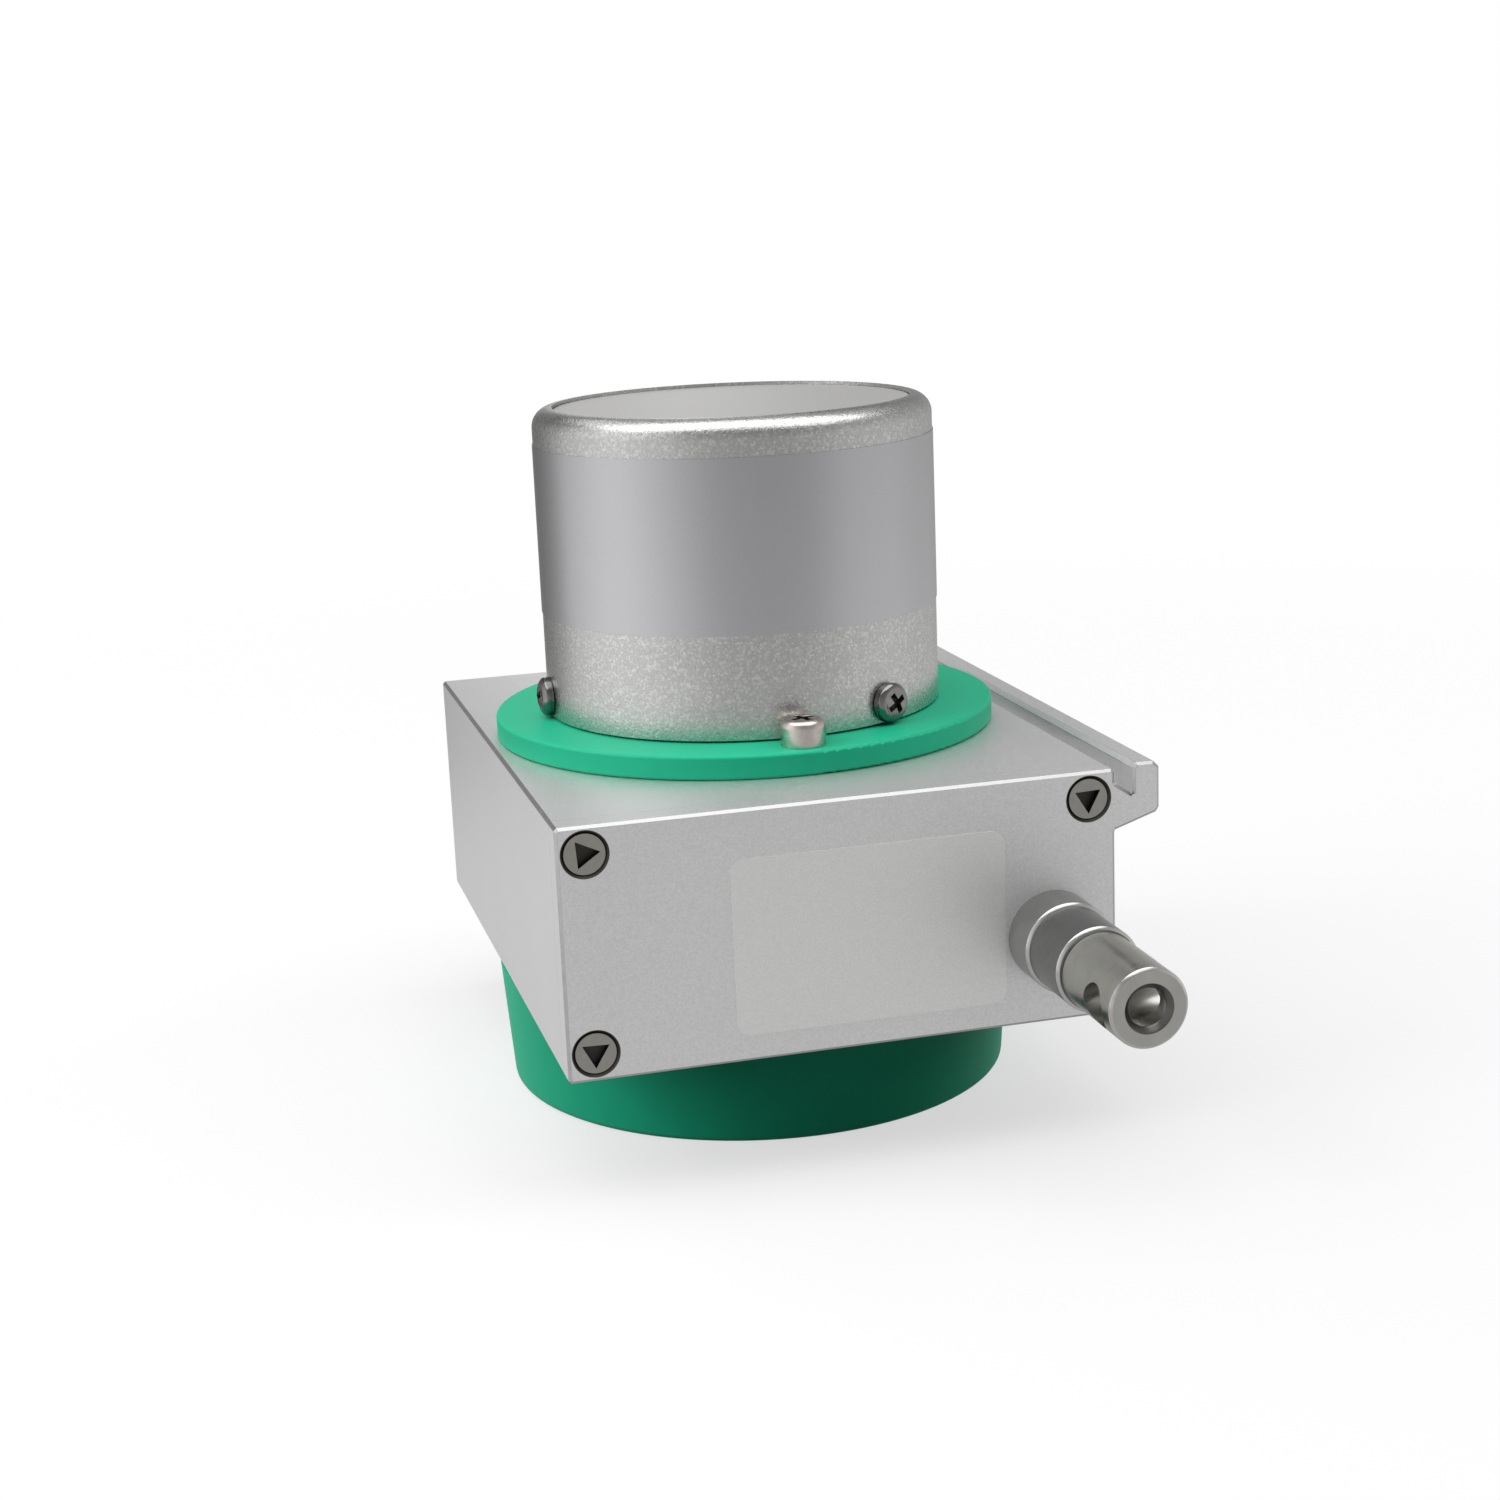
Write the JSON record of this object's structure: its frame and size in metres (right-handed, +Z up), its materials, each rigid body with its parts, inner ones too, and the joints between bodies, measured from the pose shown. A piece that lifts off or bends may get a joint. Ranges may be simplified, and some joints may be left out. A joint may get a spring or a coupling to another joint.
{
  "type": "draw wire encoder",
  "caption": "Draw wire displacement sensor: flat aluminium housing with side mounting rails, green spring cap below, round sensor can on top, and a wire clamp at the front.",
  "frame": {"origin": "centre of the spring cap's flat base, on the axis of the wire drum", "axes": "+Z up along the drum's axis, through the round sensor can; the measuring wire leaves towards -Y; the mounting rails are on +X"},
  "size_m": [0.0833, 0.1322, 0.0999],
  "materials": {
    "housing_aluminium": "bead-blasted and clear anodised, bright broken edges",
    "can_aluminium": "coarse bead-blasted with a sparkle, clear anodised",
    "plain_aluminium": "turned, not coated",
    "green_plastic": "moulded, satin",
    "turned_steel": "turned stainless steel with polished chamfers",
    "nickel_screws": "nickel plated",
    "nickel_gland": "nickel-plated brass",
    "dark_steel": "stainless steel, dull",
    "bright_steel": "ground",
    "spring_steel": "tempered strip",
    "wire_steel": "stranded stainless wire",
    "brass_parts": "plain",
    "black_rubber": "matt",
    "white_bush": "low-friction plastic",
    "felt": "pressed felt",
    "front_label_film": "satin film, blank",
    "can_label_film": "silver polyester film, blank",
    "can_disc_film": "silver film, blank",
    "blue_plastic": "moulded",
    "board_laminate": "solder-masked laminate",
    "terminal_plastic": "moulded"
  },
  "bodies": {
    "root": {"housing_profile": "housing_aluminium", "front_plate": "housing_aluminium", "rear_plate": "housing_aluminium", "front_plate_screws": "dark_steel", "rear_plate_screws": "dark_steel", "front_label": "front_label_film", "outlet_collar": "turned_steel", "guide_bush": "white_bush", "outlet_nozzle": "turned_steel", "wiper_felt": "felt", "spring_cap": "green_plastic", "cap_screws": "nickel_screws", "power_spring": "spring_steel", "spring_peg": "bright_steel", "bearing_plate": "plain_aluminium", "bearing_outer_rings": "bright_steel", "bearing_balls": "bright_steel", "sensor_flange": "green_plastic", "flange_o_ring": "black_rubber", "flange_screws": "nickel_screws", "sensor_can": "can_aluminium", "can_o_ring": "black_rubber", "can_screws": "nickel_screws", "can_label": "can_label_film", "can_top_disc": "can_disc_film", "potentiometer": "blue_plastic", "potentiometer_nut": "brass_parts", "sensor_bracket": "plain_aluminium", "lower_standoffs": "brass_parts", "upper_standoffs": "brass_parts", "terminal_board": "board_laminate", "terminal_block": "terminal_plastic", "board_screws": "nickel_screws", "gland_body": "nickel_gland", "gland_seal": "black_rubber", "gland_lock_nut": "nickel_gland", "gland_dome_nut": "nickel_gland", "gland_insert": "black_rubber"},
    "drum": {"spring_arbor": "bright_steel", "arbor_pin": "bright_steel", "bearing_inner_rings": "bright_steel", "drum_shaft": "bright_steel", "shaft_circlips": "spring_steel", "wire_drum": "plain_aluminium", "drum_set_screws": "dark_steel", "wire_winding": "wire_steel", "spacer_sleeve": "plain_aluminium", "shaft_coupling": "plain_aluminium", "coupling_screws": "dark_steel", "potentiometer_shaft": "bright_steel"},
    "wire_end": {"measuring_wire": "wire_steel", "wire_ferrule": "brass_parts", "wire_clamp": "turned_steel"}
  },
  "joints": [
    {"name": "drum_spin", "type": "hinge", "parent": "root", "child": "drum", "pos_m": [0, 0, 0.0298], "axis": [0, 0, -1], "range_deg": [0, 1975], "stiffness_Nm_per_rad": 0.0025, "springref_deg": -3323.16, "deforming": ["power_spring"]},
    {"name": "wire_pull", "type": "slide", "parent": "root", "child": "wire_end", "axis": [0, -1, 0], "range_m": [0, 1], "deforming": ["measuring_wire"]}
  ],
  "couplings": [
    {"joint": "wire_pull", "follows": "drum_spin", "m_per_rad": 0.029}
  ]
}
